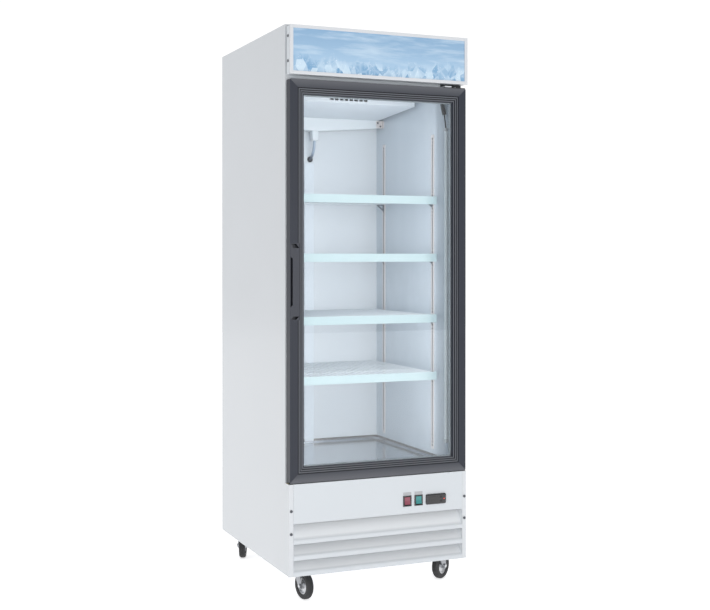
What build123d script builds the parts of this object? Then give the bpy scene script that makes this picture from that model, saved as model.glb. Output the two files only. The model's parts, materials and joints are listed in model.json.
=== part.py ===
"""Single glass door reach-in refrigerator on swivel casters.

Frame: millimetres, +Z up, front towards -Y.  The origin is on the floor, under the middle of the
cabinet's bounding box.  A foamed, insulated box stands on a machine compartment; a glass door hangs
on two pins at the right, a lit header is fixed above it and a louvred panel closes the front below.
Pieces of one node that only touch are kept apart by a hairline joint, so that they stay separate.
"""
from build123d import *
from math import atan2, cos, degrees, pi, radians, sin, tan
import os

# ---------------------------------------------------------------- driving dimensions
WIDTH = 697.0                    # over the side panels
DEPTH = 807.0                    # header front to back edge
HEIGHT = 2030.0                  # floor to top panel
SHEET = 1.0                      # painted sheet steel
JOINT = 0.2                      # hairline between neighbouring pieces of one node
HALF_W = WIDTH / 2
BACK_Y = DEPTH / 2
HEADER_FRONT_Y = -DEPTH / 2
BODY_FRONT_Y = -351.5            # front plane of the insulated box
GRILLE_FRONT_Y = -392.5          # front plane of the louvred panel
GRILLE_TOP_Z = 422.0
SKIRT_Z = 100.0                  # lower edge of the side panels and grille
PAN_Z = 127.0                    # underside of the base pan
PAN_T = 3.0
BOX_Z = 399.0                    # underside of the insulated box
FLANGE = 16.0                    # front flanges of the side panels
FLANGE_IN = HALF_W - FLANGE      # where those flanges end

# Insulated box: inside faces of the liner
LINER = 1.0
CAVITY_HALF_W = 298.0
CAVITY_BACK_Y = 303.0
CAVITY_FLOOR_Z = 448.0
CAVITY_TOP_Z = 1960.0
THROAT_Y = -343.5                # front edge of liner and foam, behind the throat frame
THROAT_Z = (458.0, 1806.0)       # door opening
THROAT_RIM_Z = (424.0, 1840.0)   # outer edges of the throat frame
HEADER_WALL_Y = -300.0           # foamed wall above the door opening
FOAM_X = CAVITY_HALF_W + LINER
FOAM_BACK_Y = CAVITY_BACK_Y + LINER
FOAM_Z = (BOX_Z + SHEET, HEIGHT - SHEET)
CHASE_X = (150.0, 210.0)         # chase for the refrigerant lines, in the back of the foam
CHASE_Y = 366.0

# Door
DOOR_FRONT_Y = -393.5
DOOR_BACK_Y = -359.5
DOOR_HALF_W = 345.5
DOOR_Z = (425.5, 1835.5)
DOOR_MID_Z = (DOOR_Z[0] + DOOR_Z[1]) / 2
DOOR_HEIGHT = DOOR_Z[1] - DOOR_Z[0]
DOOR_CORNER = 5.0
RIDGES = ((30.0, 2.6), (32.0, 0.9), (37.0, 3.2), (39.0, 1.8), (44.0, 5.0), (46.0, 3.6), (50.5, 8.0))
GLASS_INSET = 45.0               # outer edge of the frame to the edge of the panes
SIGHT_INSET = 54.5               # outer edge of the frame to the visible glass
PANE = 4.0
PANE_GAP = 12.0
GLASS_FRONT_Y = DOOR_FRONT_Y + 12.0
PIVOT_X = 331.0
PIVOT_Y = -372.0
PIN_R = 5.0
PIN_CLEARANCE = 0.05
PIN_DEPTH = 24.0
GASKET_INSET = (18.0, 34.0)
GASKET_GAP = 0.3
HANDLE_X = (-344.0, -309.0)      # recess for the hand in the left stile
HANDLE_Z = (994.0, 1262.0)
HANDLE_BACK_Y = -370.0
SLOT_Z = (1039.0, 1216.0)        # finger slot beside the grip
SLOT_X = (-343.0, -335.0)

# Header
HEADER_Z = (1850.0, 2022.0)
HEADER_BACK_Y = -362.0
HEADER_RIM = 11.5

# Interior
SHELF_TOPS_Z = (1442.4, 1226.5, 997.9, 782.0)
SHELF_HALF_W = 284.0
SHELF_Y = (-279.0, 292.0)
STRIP_HEIGHT = 30.0
STRIP_T = 3.0
WIRE_R = 2.2
WIRE_COUNT = 23
FRAME_WIRE_R = 3.2
STANDARD_Y = (-221.0, 225.0)
STANDARD_Z = (482.0, 1680.0)
STANDARD_T = 3.0
STANDARD_W = 22.0
SLOT_SIZE = (9.0, 7.5)
SLOT_PITCH = 12.7
EVAP_HALF_W = 278.0
EVAP_Y = (-102.0, 245.0)
EVAP_FRONT_Z = 1800.0
EVAP_BACK_Z = 1781.0
FAN_Z = 1878.0

# Hose, lead and refrigerant line ports through the liner
LINE_PORTS = ((165.0, 1880.0, 5.0), (192.0, 1900.0, 3.2))
PORT_CLEARANCE = 2.0
HOSE_R = 5.5
HOSE_ROUTE = ((0, 262, 1689), (0, 262, 1672), (-0.4, 265.8, 1655.4), (-1.2, 272.9, 1641.1),
              (-2.2, 283.2, 1628.9), (-3.2, 296, 1619.2), (-4, 310.6, 1612.7))
HOSE_PORT = (-3.8, 1614.8, 8.6)  # x, z and radius of its hole through the back wall
LEAD_R = 2.5
LEAD_ROUTE = ((289, -311, 1806), (289.2, -312.6, 1787), (290, -318.5, 1767), (290.6, -327.5, 1746),
              (291, -332.8, 1726), (291.2, -336.4, 1709), (291.2, -338.6, 1694.5))

# Controls in the upper part of the louvred panel
SWITCH_X = (106.5, 152.0)
SWITCH_Z = 329.5
SWITCH_SIZE = (33.0, 39.0)
SWITCH_PIVOT_Y = -386.0
ROCKER_TILT = 6.0
CONTROLLER_X = (181.0, 263.0)
CONTROLLER_Z = (310.0, 348.0)
CONTROLLER_FACE_Y = -399.5
LOUVRE_Z = (283.5, 212.5, 156.0, 100.0)

# Casters
WHEEL_R = 49.0
WHEEL_W = 25.0
TRAIL = 36.0
AXLE_R = 5.0
KINGPIN_R = 6.0
PLATE_T = 3.0
CASTERS = {                      # king pin x and y, and the direction in which the wheel trails
    "front_left": (-274.0, -292.0, (0.176, -0.984)),
    "front_right": (274.0, -292.0, (0.834, 0.552)),
    "rear_left": (-274.0, 350.0, (-0.394, -0.919)),
    "rear_right": (274.0, 350.0, (0.30, -0.954)),
}

PARTS = []


def keep_part(part, label):
    """Give a finished piece its name and queue it for writing."""
    part.label = label
    PARTS.append(part)


def slab(x, y, z, mode=Mode.ADD):
    """A plain block between two values on each axis, in the part being built."""
    with Locations((min(x), min(y), min(z))):
        Box(abs(x[1] - x[0]), abs(y[1] - y[0]), abs(z[1] - z[0]), align=(Align.MIN,) * 3, mode=mode)


def bar(centre, radius, length, axis, mode=Mode.ADD):
    """A round bar through a point along X, Y or Z, in the part being built."""
    turn = {"X": (0, 90, 0), "Y": (90, 0, 0), "Z": (0, 0, 0)}[axis]
    with Locations(Location(centre, turn)):
        Cylinder(radius, length, mode=mode)


def bend_radii(points):
    """The largest tangent arc for each corner that leaves a little of both its runs straight."""
    radii = []
    for before, corner, after in zip(points, points[1:], points[2:]):
        run_in = Vector(*corner) - Vector(*before)
        run_out = Vector(*after) - Vector(*corner)
        half_turn = radians(run_in.get_angle(run_out)) / 2
        radii.append(0.45 * min(run_in.length, run_out.length) / tan(half_turn))
    return radii


def tube(points, radii, radius):
    """A round tube of straight runs joined by tangent arcs."""
    with BuildPart() as pipe:
        with BuildLine() as path:
            FilletPolyline(*points, radius=radii)
        with BuildSketch(Plane(origin=path.line @ 0, z_dir=path.line % 0)):
            Circle(radius)
        sweep()
    length = sum(edge.length for edge in path.edges())
    share = pipe.part.volume / (pi * radius ** 2 * length)
    print(f"tube length {length:.1f}, volume over section times length {share:.4f}")
    return pipe.part


def flexible(points, radius):
    """A hose or lead: a tube with the widest bends that its route allows."""
    radii = bend_radii(points)
    print("bend radii in diameters", ", ".join(f"{r / (2 * radius):.1f}" for r in radii))
    return tube(points, radii, radius)


# ---------------------------------------------------------------- cabinet shell
def side_panel(side):
    """Painted side with a rounded front bend; its lower part stands forward around the grille."""
    edge = Align.MAX if side > 0 else Align.MIN
    stretches = ((BODY_FRONT_Y, GRILLE_TOP_Z, HEIGHT), (GRILLE_FRONT_Y, SKIRT_Z, GRILLE_TOP_Z))
    with BuildPart() as panel:
        for front_y, low_z, high_z in stretches:
            with BuildSketch(Plane.XY.offset(low_z)) as section:
                with Locations((side * HALF_W, front_y)):
                    Rectangle(SHEET, BACK_Y - front_y, align=(edge, Align.MIN))
                    Rectangle(FLANGE, SHEET, align=(edge, Align.MIN))
                corner = section.vertices().sort_by_distance((side * HALF_W, front_y, low_z))[0]
                fillet(corner, radius=0.9 * SHEET)
            extrude(amount=high_z - low_z)
    return panel.part


keep_part(side_panel(-1), "side_panel_left")
keep_part(side_panel(1), "side_panel_right")

with BuildPart() as back_panel:
    slab((-HALF_W + SHEET, HALF_W - SHEET), (BACK_Y - SHEET, BACK_Y), (BOX_Z, HEIGHT - SHEET))
keep_part(back_panel.part, "back_panel")

with BuildPart() as top_panel:
    slab((-HALF_W + SHEET, HALF_W - SHEET), (BODY_FRONT_Y + SHEET, BACK_Y), (HEIGHT - SHEET, HEIGHT))
    slab((-FLANGE_IN, FLANGE_IN), (BODY_FRONT_Y, BODY_FRONT_Y + SHEET), (THROAT_RIM_Z[1], HEIGHT))
keep_part(top_panel.part, "top_panel")

with BuildPart() as foam_insulation:
    for side in (-1, 1):
        slab((side * (FOAM_X + JOINT), side * (HALF_W - SHEET)), (THROAT_Y, BACK_Y - SHEET), FOAM_Z)
    slab((-FOAM_X, FOAM_X), (FOAM_BACK_Y, BACK_Y - SHEET), FOAM_Z)
    slab(CHASE_X, (CHASE_Y, BACK_Y), (FOAM_Z[0], LINE_PORTS[1][1] + 30), mode=Mode.SUBTRACT)
    slab((-FOAM_X, FOAM_X), (THROAT_Y, FOAM_BACK_Y - JOINT), (CAVITY_TOP_Z + LINER, FOAM_Z[1]))
    slab((-FOAM_X, FOAM_X), (THROAT_Y, FOAM_BACK_Y - JOINT), (FOAM_Z[0], CAVITY_FLOOR_Z - LINER))
    slab((-FOAM_X, FOAM_X), (THROAT_Y, HEADER_WALL_Y),
         (THROAT_Z[1] + LINER, CAVITY_TOP_Z + LINER - JOINT))
    for x, z, radius in LINE_PORTS:
        bar((x, CHASE_Y, z), radius + PORT_CLEARANCE, 2 * (CHASE_Y - FOAM_BACK_Y + 1), "Y",
            mode=Mode.SUBTRACT)
    bar((HOSE_PORT[0], FOAM_BACK_Y, HOSE_PORT[1]), HOSE_PORT[2], 40, "Y", mode=Mode.SUBTRACT)
    bar((LEAD_ROUTE[0][0], LEAD_ROUTE[0][1], THROAT_Z[1]), LEAD_R + PORT_CLEARANCE, 40, "Z",
        mode=Mode.SUBTRACT)
keep_part(foam_insulation.part, "foam_insulation")

with BuildPart() as inner_liner:
    slab((-FOAM_X, FOAM_X), (THROAT_Y, FOAM_BACK_Y), (CAVITY_FLOOR_Z - LINER, CAVITY_TOP_Z + LINER))
    slab((-CAVITY_HALF_W, CAVITY_HALF_W), (THROAT_Y, CAVITY_BACK_Y), (CAVITY_FLOOR_Z, CAVITY_TOP_Z),
         mode=Mode.SUBTRACT)
    slab((-FOAM_X, FOAM_X), (THROAT_Y, HEADER_WALL_Y), (THROAT_Z[1] + LINER, CAVITY_TOP_Z + LINER),
         mode=Mode.SUBTRACT)
    slab((-FOAM_X, FOAM_X), (HEADER_WALL_Y, HEADER_WALL_Y + LINER), (THROAT_Z[1], CAVITY_TOP_Z))
    slab((-FOAM_X, FOAM_X), (THROAT_Y, HEADER_WALL_Y + LINER), (THROAT_Z[1], THROAT_Z[1] + LINER))
    for x, z, radius in LINE_PORTS:
        bar((x, FOAM_BACK_Y, z), radius + PORT_CLEARANCE, 10, "Y", mode=Mode.SUBTRACT)
    bar((HOSE_PORT[0], FOAM_BACK_Y, HOSE_PORT[1]), HOSE_PORT[2], 10, "Y", mode=Mode.SUBTRACT)
    bar((LEAD_ROUTE[0][0], LEAD_ROUTE[0][1], THROAT_Z[1]), LEAD_R + PORT_CLEARANCE, 10, "Z",
        mode=Mode.SUBTRACT)
keep_part(inner_liner.part, "inner_liner")

# Plastic frame around the door opening: two posts, head and sill, where the gasket seals
with BuildPart() as throat_frame:
    throat_y = (BODY_FRONT_Y, THROAT_Y)
    for side in (-1, 1):
        slab((side * CAVITY_HALF_W, side * FLANGE_IN), throat_y, THROAT_RIM_Z)
    inside = (-CAVITY_HALF_W + JOINT, CAVITY_HALF_W - JOINT)
    slab(inside, throat_y, (THROAT_RIM_Z[0], THROAT_Z[0]))
    slab(inside, throat_y, (THROAT_Z[1], THROAT_RIM_Z[1]))
keep_part(throat_frame.part, "throat_frame")

# Stainless floor tray with upturned edges at the sides and the back
TRAY_T = 1.5
TRAY_RIM = 16.0
with BuildPart() as floor_tray:
    tray_x = CAVITY_HALF_W - 1.5
    tray_y = (-325.0, CAVITY_BACK_Y - 1.5)
    rim_z = (CAVITY_FLOOR_Z, CAVITY_FLOOR_Z + TRAY_RIM)
    slab((-tray_x, tray_x), tray_y, (CAVITY_FLOOR_Z, CAVITY_FLOOR_Z + TRAY_T))
    for side in (-1, 1):
        slab((side * (tray_x - TRAY_T), side * tray_x), tray_y, rim_z)
    slab((-tray_x, tray_x), (tray_y[1] - TRAY_T, tray_y[1]), rim_z)
keep_part(floor_tray.part, "floor_tray")

# Base: pan, four posts, the sheet under the foamed box and the four caster plates
POST = 25.0
PLATE_SIZE = (66.0, 92.0)
PLATE_Z = PAN_Z - PLATE_T
with BuildPart() as base_frame:
    base_x = HALF_W - SHEET - JOINT
    base_y = (-346.0, BACK_Y - 20)
    slab((-base_x, base_x), base_y, (PAN_Z, PAN_Z + PAN_T))
    slab((-base_x, base_x), (THROAT_Y, BACK_Y - SHEET), (BOX_Z - SHEET, BOX_Z + SHEET - JOINT))
    slab(CHASE_X, (CHASE_Y, BACK_Y), (BOX_Z - 2 * SHEET, BOX_Z + SHEET), mode=Mode.SUBTRACT)
    slab((-FLANGE_IN, FLANGE_IN), (BODY_FRONT_Y + JOINT, THROAT_Y - JOINT),
         (BOX_Z, THROAT_RIM_Z[0] - JOINT))
    for side in (-1, 1):
        for y in (base_y[0] + 6, base_y[1] - POST):
            slab((side * (base_x - POST), side * base_x), (y, y + POST),
                 (PAN_Z + PAN_T + JOINT, BOX_Z - SHEET - JOINT))
    for x, y, _ in CASTERS.values():
        with Locations((x, y, PLATE_Z - JOINT)):
            Box(*PLATE_SIZE, PLATE_T, align=(Align.CENTER, Align.CENTER, Align.MIN))
        bar((x, y, PLATE_Z), KINGPIN_R + PIN_CLEARANCE, 2 * PLATE_T, "Z", mode=Mode.SUBTRACT)
keep_part(base_frame.part, "base_frame")


# ---------------------------------------------------------------- louvred front panel
with BuildPart() as front_grille:
    grille_x = FLANGE_IN - 0.5
    inner_y = -347.0
    slab((-grille_x, grille_x), (GRILLE_FRONT_Y, GRILLE_FRONT_Y + SHEET), (LOUVRE_Z[0], GRILLE_TOP_Z))
    slab((-grille_x, grille_x), (GRILLE_FRONT_Y, BODY_FRONT_Y - 4), (GRILLE_TOP_Z - SHEET, GRILLE_TOP_Z))
    slab((-grille_x, grille_x), (GRILLE_FRONT_Y, GRILLE_FRONT_Y + 7), (LOUVRE_Z[0], LOUVRE_Z[0] + SHEET))
    for side in (-1, 1):
        slab((side * (grille_x - SHEET), side * grille_x), (GRILLE_FRONT_Y, inner_y),
             (SKIRT_Z, LOUVRE_Z[0] + 12))
    for top_z, low_z in zip(LOUVRE_Z, LOUVRE_Z[1:]):
        front_lip = 15.0 if low_z < LOUVRE_Z[1] else 13.0
        lip_y = GRILLE_FRONT_Y + SHEET / 2
        with BuildSketch(Plane.YZ.offset(-grille_x)):
            with BuildLine():
                blade = FilletPolyline((lip_y, low_z), (lip_y, low_z + front_lip), (inner_y, top_z - 4.0),
                                       radius=9)
                offset(blade, amount=SHEET / 2, side=Side.BOTH)
            make_face()
        extrude(amount=2 * grille_x)
    sheet_y = (GRILLE_FRONT_Y, GRILLE_FRONT_Y + SHEET)
    for x in SWITCH_X:
        slab((x - 14, x + 14), sheet_y, (SWITCH_Z - 17.5, SWITCH_Z + 17.5), mode=Mode.SUBTRACT)
    slab((CONTROLLER_X[0] + 5, CONTROLLER_X[1] - 5), sheet_y,
         (CONTROLLER_Z[0] + 5, CONTROLLER_Z[1] - 5), mode=Mode.SUBTRACT)
keep_part(front_grille.part, "front_grille")

# Screws: four that hold the louvred panel, two on each side of the header box
SCREW_R = 5.0
SCREW_H = 2.2
GRILLE_SCREW_Z = (329.0, 249.0)
HEADER_SCREW_Z = (1985.0, 1898.0)
HEADER_SIDE_X = 346.0
with BuildPart() as panel_screws:
    for side in (-1, 1):
        for z in GRILLE_SCREW_Z:
            bar((side * (HALF_W - FLANGE / 2), GRILLE_FRONT_Y - SCREW_H / 2, z), SCREW_R, SCREW_H, "Y")
        for z in HEADER_SCREW_Z:
            bar((side * (HEADER_SIDE_X + SCREW_H / 2), -377.5, z), SCREW_R, SCREW_H, "X")
keep_part(panel_screws.part, "panel_screws")

with BuildPart() as switch_bezels:
    for x in SWITCH_X:
        half_w = SWITCH_SIZE[0] / 2
        half_h = SWITCH_SIZE[1] / 2
        slab((x - half_w, x + half_w), (GRILLE_FRONT_Y - 2.5, GRILLE_FRONT_Y),
             (SWITCH_Z - half_h, SWITCH_Z + half_h))
        slab((x - 13.5, x + 13.5), (GRILLE_FRONT_Y, -364), (SWITCH_Z - 17.3, SWITCH_Z + 17.3))
        slab((x - 11.6, x + 11.6), (GRILLE_FRONT_Y - 2.5, -367), (SWITCH_Z - 16.2, SWITCH_Z + 16.2),
             mode=Mode.SUBTRACT)
keep_part(switch_bezels.part, "switch_bezels")


def rocker(x):
    """Rocker with two shallow faces, tipped about its pivot so that the upper half is pressed in."""
    tilt = radians(ROCKER_TILT)
    tipped = Plane(origin=(x - 11, SWITCH_PIVOT_Y, SWITCH_Z), x_dir=(0, cos(tilt), -sin(tilt)),
                   z_dir=(1, 0, 0))
    with BuildPart() as body:
        with BuildSketch(tipped):
            with BuildLine():
                Polyline((-10.5, -13.4), (-9.0, 0), (-10.5, 13.4), (-4, 13.4))
                ThreePointArc((-4, 13.4), (9, 0), (-4, -13.4))
                Line((-4, -13.4), (-10.5, -13.4))
            make_face()
        extrude(amount=22)
    return body.part


keep_part(rocker(SWITCH_X[0]), "power_rocker")
keep_part(rocker(SWITCH_X[1]), "lamp_rocker")

with BuildPart() as controller:
    mid_x = sum(CONTROLLER_X) / 2
    mid_z = sum(CONTROLLER_Z) / 2
    with BuildSketch(Plane.XZ.offset(-GRILLE_FRONT_Y)):
        with Locations((mid_x, mid_z)):
            RectangleRounded(CONTROLLER_X[1] - CONTROLLER_X[0], CONTROLLER_Z[1] - CONTROLLER_Z[0], 6)
    extrude(amount=GRILLE_FRONT_Y - CONTROLLER_FACE_Y)
    fillet(controller.faces().sort_by(Axis.Y)[0].edges(), radius=4.5)
    slab((CONTROLLER_X[0] + 6, CONTROLLER_X[1] - 6), (GRILLE_FRONT_Y, -352),
         (CONTROLLER_Z[0] + 6, CONTROLLER_Z[1] - 6))
keep_part(controller.part, "controller_body")

# ---------------------------------------------------------------- lit header
with BuildPart() as header_box:
    box_y = (-396.0, HEADER_BACK_Y)
    box_z = (HEADER_Z[0] + 1.5, HEADER_Z[1] - 1.5)
    slab((-HEADER_SIDE_X, HEADER_SIDE_X), box_y, box_z)
    slab((-HEADER_SIDE_X + 1.5, HEADER_SIDE_X - 1.5), (box_y[0], box_y[1] - 1.5),
         (box_z[0] + 1.5, box_z[1] - 1.5), mode=Mode.SUBTRACT)
    slab((-230, 230), (HEADER_BACK_Y, BODY_FRONT_Y), (HEADER_Z[0] + 20, HEADER_Z[1] - 20))
keep_part(header_box.part, "header_box")

with BuildPart() as header_frame:
    frame_y = (HEADER_FRONT_Y, -396.2)
    outer_x = HALF_W - 0.5
    lip_y = (HEADER_FRONT_Y + 3.0, -396.2)
    for side in (-1, 1):
        slab((side * (outer_x - HEADER_RIM), side * outer_x), frame_y, HEADER_Z)
    for z in ((HEADER_Z[0], HEADER_Z[0] + HEADER_RIM), (HEADER_Z[1] - HEADER_RIM, HEADER_Z[1])):
        slab((-outer_x + HEADER_RIM + JOINT, outer_x - HEADER_RIM - JOINT), frame_y, z)
    slab((-outer_x + 6, outer_x - 6), lip_y, (HEADER_Z[0] + 6, HEADER_Z[1] - 6), mode=Mode.SUBTRACT)
keep_part(header_frame.part, "header_frame")

with BuildPart() as header_picture:
    slab((-outer_x + 6.3, outer_x - 6.3), (lip_y[0], lip_y[0] + 2), (HEADER_Z[0] + 6.3, HEADER_Z[1] - 6.3))
keep_part(header_picture.part, "header_picture")

with BuildPart() as header_lamp:
    lamp_z = sum(HEADER_Z) / 2
    bar((0, -379, lamp_z), 8, 600, "X")
    for x in (-306, 306):
        slab((x - 6, x + 6), (-391, HEADER_BACK_Y - 1.5), (lamp_z - 12, lamp_z + 12))
keep_part(header_lamp.part, "header_lamp")

# ---------------------------------------------------------------- door
with BuildPart() as door_ring:
    with BuildSketch(Plane.XZ.offset(-DOOR_BACK_Y)):
        with Locations((0, DOOR_MID_Z)):
            RectangleRounded(2 * DOOR_HALF_W, DOOR_HEIGHT, DOOR_CORNER)
            Rectangle(2 * (DOOR_HALF_W - SIGHT_INSET), DOOR_HEIGHT - 2 * SIGHT_INSET, mode=Mode.SUBTRACT)
    extrude(amount=DOOR_BACK_Y - DOOR_FRONT_Y)
    for (inset, depth), (next_inset, _) in zip(RIDGES, RIDGES[1:] + ((SIGHT_INSET + 1, 0),)):
        with BuildSketch(Plane.XZ.offset(-DOOR_FRONT_Y)):
            with Locations((0, DOOR_MID_Z)):
                Rectangle(2 * (DOOR_HALF_W - inset), DOOR_HEIGHT - 2 * inset)
                Rectangle(2 * (DOOR_HALF_W - next_inset), DOOR_HEIGHT - 2 * next_inset, mode=Mode.SUBTRACT)
        extrude(amount=-depth, mode=Mode.SUBTRACT)
    rebate = GLASS_INSET - 1
    rebate_y = (GLASS_FRONT_Y, GLASS_FRONT_Y + 2 * PANE + PANE_GAP + 0.3)
    slab((-DOOR_HALF_W + rebate, DOOR_HALF_W - rebate), rebate_y, (DOOR_Z[0] + rebate, DOOR_Z[1] - rebate),
         mode=Mode.SUBTRACT)
    for z in DOOR_Z:
        bar((PIVOT_X, PIVOT_Y, z), PIN_R + PIN_CLEARANCE, 2 * PIN_DEPTH, "Z", mode=Mode.SUBTRACT)
    slab(HANDLE_X, (DOOR_FRONT_Y - 1, HANDLE_BACK_Y), HANDLE_Z, mode=Mode.SUBTRACT)


def frame_member(kind):
    """One of the four mitred extrusions of the door frame, cut from the ring on its corners' diagonals."""
    reach = DOOR_HALF_W
    low, high = DOOR_Z
    outlines = {
        "left": ((-reach, low), (-reach, high), (0, high - reach), (0, low + reach)),
        "right": ((reach, low), (reach, high), (0, high - reach), (0, low + reach)),
        "bottom": ((-reach + JOINT, low), (reach - JOINT, low), (0, low + reach - JOINT)),
        "top": ((-reach + JOINT, high), (reach - JOINT, high), (0, high - reach + JOINT)),
    }
    with BuildPart() as member:
        with BuildSketch(Plane.XZ.offset(-DOOR_BACK_Y)):
            with BuildLine():
                Polyline(*outlines[kind], close=True)
            make_face()
        extrude(amount=DOOR_BACK_Y - DOOR_FRONT_Y)
        add(door_ring.part, mode=Mode.INTERSECT)
    return member.part


keep_part(frame_member("left"), "door_stile_left")
door_frame = Part() + [frame_member(kind) for kind in ("right", "top", "bottom")]
keep_part(door_frame, "door_frame")


def door_strips(insets, y):
    """Four straight strips around the door, between two distances from its outer edge."""
    outer, inner = insets
    with BuildPart() as strips:
        for side in (-1, 1):
            slab((side * (DOOR_HALF_W - outer), side * (DOOR_HALF_W - inner)), y,
                 (DOOR_Z[0] + outer, DOOR_Z[1] - outer))
        across = (-DOOR_HALF_W + inner + JOINT, DOOR_HALF_W - inner - JOINT)
        slab(across, y, (DOOR_Z[0] + outer, DOOR_Z[0] + inner))
        slab(across, y, (DOOR_Z[1] - inner, DOOR_Z[1] - outer))
    return strips.part


keep_part(door_strips(GASKET_INSET, (DOOR_BACK_Y, BODY_FRONT_Y - GASKET_GAP)), "door_gasket")
SPACER_Y = (GLASS_FRONT_Y + PANE, GLASS_FRONT_Y + PANE + PANE_GAP)
keep_part(door_strips((GLASS_INSET + 1, GLASS_INSET + 12), SPACER_Y), "glass_spacer")


def pane(front_y):
    """One sheet of toughened glass."""
    with BuildPart() as sheet:
        slab((-DOOR_HALF_W + GLASS_INSET, DOOR_HALF_W - GLASS_INSET), (front_y, front_y + PANE),
             (DOOR_Z[0] + GLASS_INSET, DOOR_Z[1] - GLASS_INSET))
    return sheet.part


keep_part(pane(GLASS_FRONT_Y), "door_glass_outer")
keep_part(pane(SPACER_Y[1]), "door_glass_inner")

# Moulded cup in the left stile: a grip plate bridges it, with a finger slot and slanted end openings
END_OPENINGS = (
    ((-341.0, 1260.0), (-322.0, 1260.0), (-311.0, 1246.0), (-333.0, 1246.0)),
    ((-333.0, 1007.0), (-311.0, 1007.0), (-322.0, 996.0), (-341.0, 996.0)),
)
WALL = 2.0
GRIP_T = 4.0
GRIP_FRONT_Y = DOOR_FRONT_Y + 0.4
with BuildPart() as door_handle:
    slab(HANDLE_X, (GRIP_FRONT_Y, HANDLE_BACK_Y), HANDLE_Z)
    slab((HANDLE_X[0] + 1, HANDLE_X[1] - WALL), (GRIP_FRONT_Y + GRIP_T, HANDLE_BACK_Y - WALL),
         (HANDLE_Z[0] + 1, HANDLE_Z[1] - 1), mode=Mode.SUBTRACT)
    with BuildSketch(Plane.XZ.offset(-GRIP_FRONT_Y)):
        with BuildLine():
            Polyline((SLOT_X[0], SLOT_Z[0]), (SLOT_X[1], SLOT_Z[0] + 8), (SLOT_X[1], SLOT_Z[1] - 8),
                     (SLOT_X[0], SLOT_Z[1]), close=True)
        make_face()
        for outline in END_OPENINGS:
            with BuildLine():
                Polyline(*outline, close=True)
            make_face()
    extrude(amount=-GRIP_T, mode=Mode.SUBTRACT)
keep_part(door_handle.part, "door_handle")


def hinge_bracket(door_z, sign):
    """Angle plate on the cabinet front with the pin that the door turns on; sign is +1 at the top."""
    plate_z = (door_z + sign * 0.8, door_z + sign * 3.2)
    span_x = (262.0, 345.0) if sign > 0 else (285.0, 345.0)
    with BuildPart() as bracket:
        slab(span_x, (DOOR_FRONT_Y + 3, BODY_FRONT_Y - JOINT), plate_z)
        slab(span_x, (BODY_FRONT_Y - JOINT - 2.5, BODY_FRONT_Y - JOINT), (plate_z[0], door_z + sign * 34))
        bar((PIVOT_X, PIVOT_Y, plate_z[0] - sign * (PIN_DEPTH - 2) / 2), PIN_R, PIN_DEPTH - 2, "Z")
        bar((PIVOT_X, PIVOT_Y, plate_z[0] - sign * 0.3), PIN_R + 3, 0.6, "Z")
    return bracket.part


keep_part(hinge_bracket(DOOR_Z[1], 1), "hinge_bracket_top")
keep_part(hinge_bracket(DOOR_Z[0], -1), "hinge_bracket_bottom")


# ---------------------------------------------------------------- shelves and their supports
DECK_DROP = 4.0                  # strip's top edge to the middle of the deck wires
ROD_DROP = DECK_DROP + WIRE_R + FRAME_WIRE_R - 0.8
with BuildPart() as shelf_wires:
    wire_length = SHELF_Y[1] - SHELF_Y[0] - STRIP_T - 1
    wire_pitch = (2 * SHELF_HALF_W - 16) / (WIRE_COUNT - 1)
    with BuildSketch(Plane.XZ.offset(-SHELF_Y[1])):
        with Locations((0, -DECK_DROP)):
            with GridLocations(wire_pitch, 0, WIRE_COUNT, 1):
                Circle(WIRE_R)
    extrude(amount=wire_length)
    deck_mid_y = SHELF_Y[1] - wire_length / 2
    rod_span = wire_length - 2 * FRAME_WIRE_R
    for share in (-0.5, -0.17, 0.17, 0.5):
        bar((0, deck_mid_y + share * rod_span, -ROD_DROP), FRAME_WIRE_R, 2 * SHELF_HALF_W - 6, "X")
    for side in (-1, 1):
        bar((side * (SHELF_HALF_W - 3 - FRAME_WIRE_R), deck_mid_y, -ROD_DROP), FRAME_WIRE_R, rod_span, "Y")
with BuildPart() as price_strip:
    slab((-SHELF_HALF_W, SHELF_HALF_W), (SHELF_Y[0], SHELF_Y[0] + STRIP_T), (-STRIP_HEIGHT, 0))

for number, top_z in enumerate(SHELF_TOPS_Z, start=1):
    pieces = Part() + [shelf_wires.part, price_strip.part]
    keep_part(Pos(0, 0, top_z) * pieces, f"shelf_{number}")

# Slotted standards on the side walls
with BuildPart() as shelf_standards:
    slot_count = int((STANDARD_Z[1] - STANDARD_Z[0]) / SLOT_PITCH) - 1
    for side in (-1, 1):
        for y in STANDARD_Y:
            with BuildSketch(Plane.YZ.offset(side * (CAVITY_HALF_W - 0.05))):
                with Locations((y, sum(STANDARD_Z) / 2)):
                    Rectangle(STANDARD_W, STANDARD_Z[1] - STANDARD_Z[0])
                    with GridLocations(0, SLOT_PITCH, 1, slot_count):
                        Rectangle(*SLOT_SIZE, mode=Mode.SUBTRACT)
            extrude(amount=-side * STANDARD_T)
keep_part(shelf_standards.part, "shelf_standards")

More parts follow.
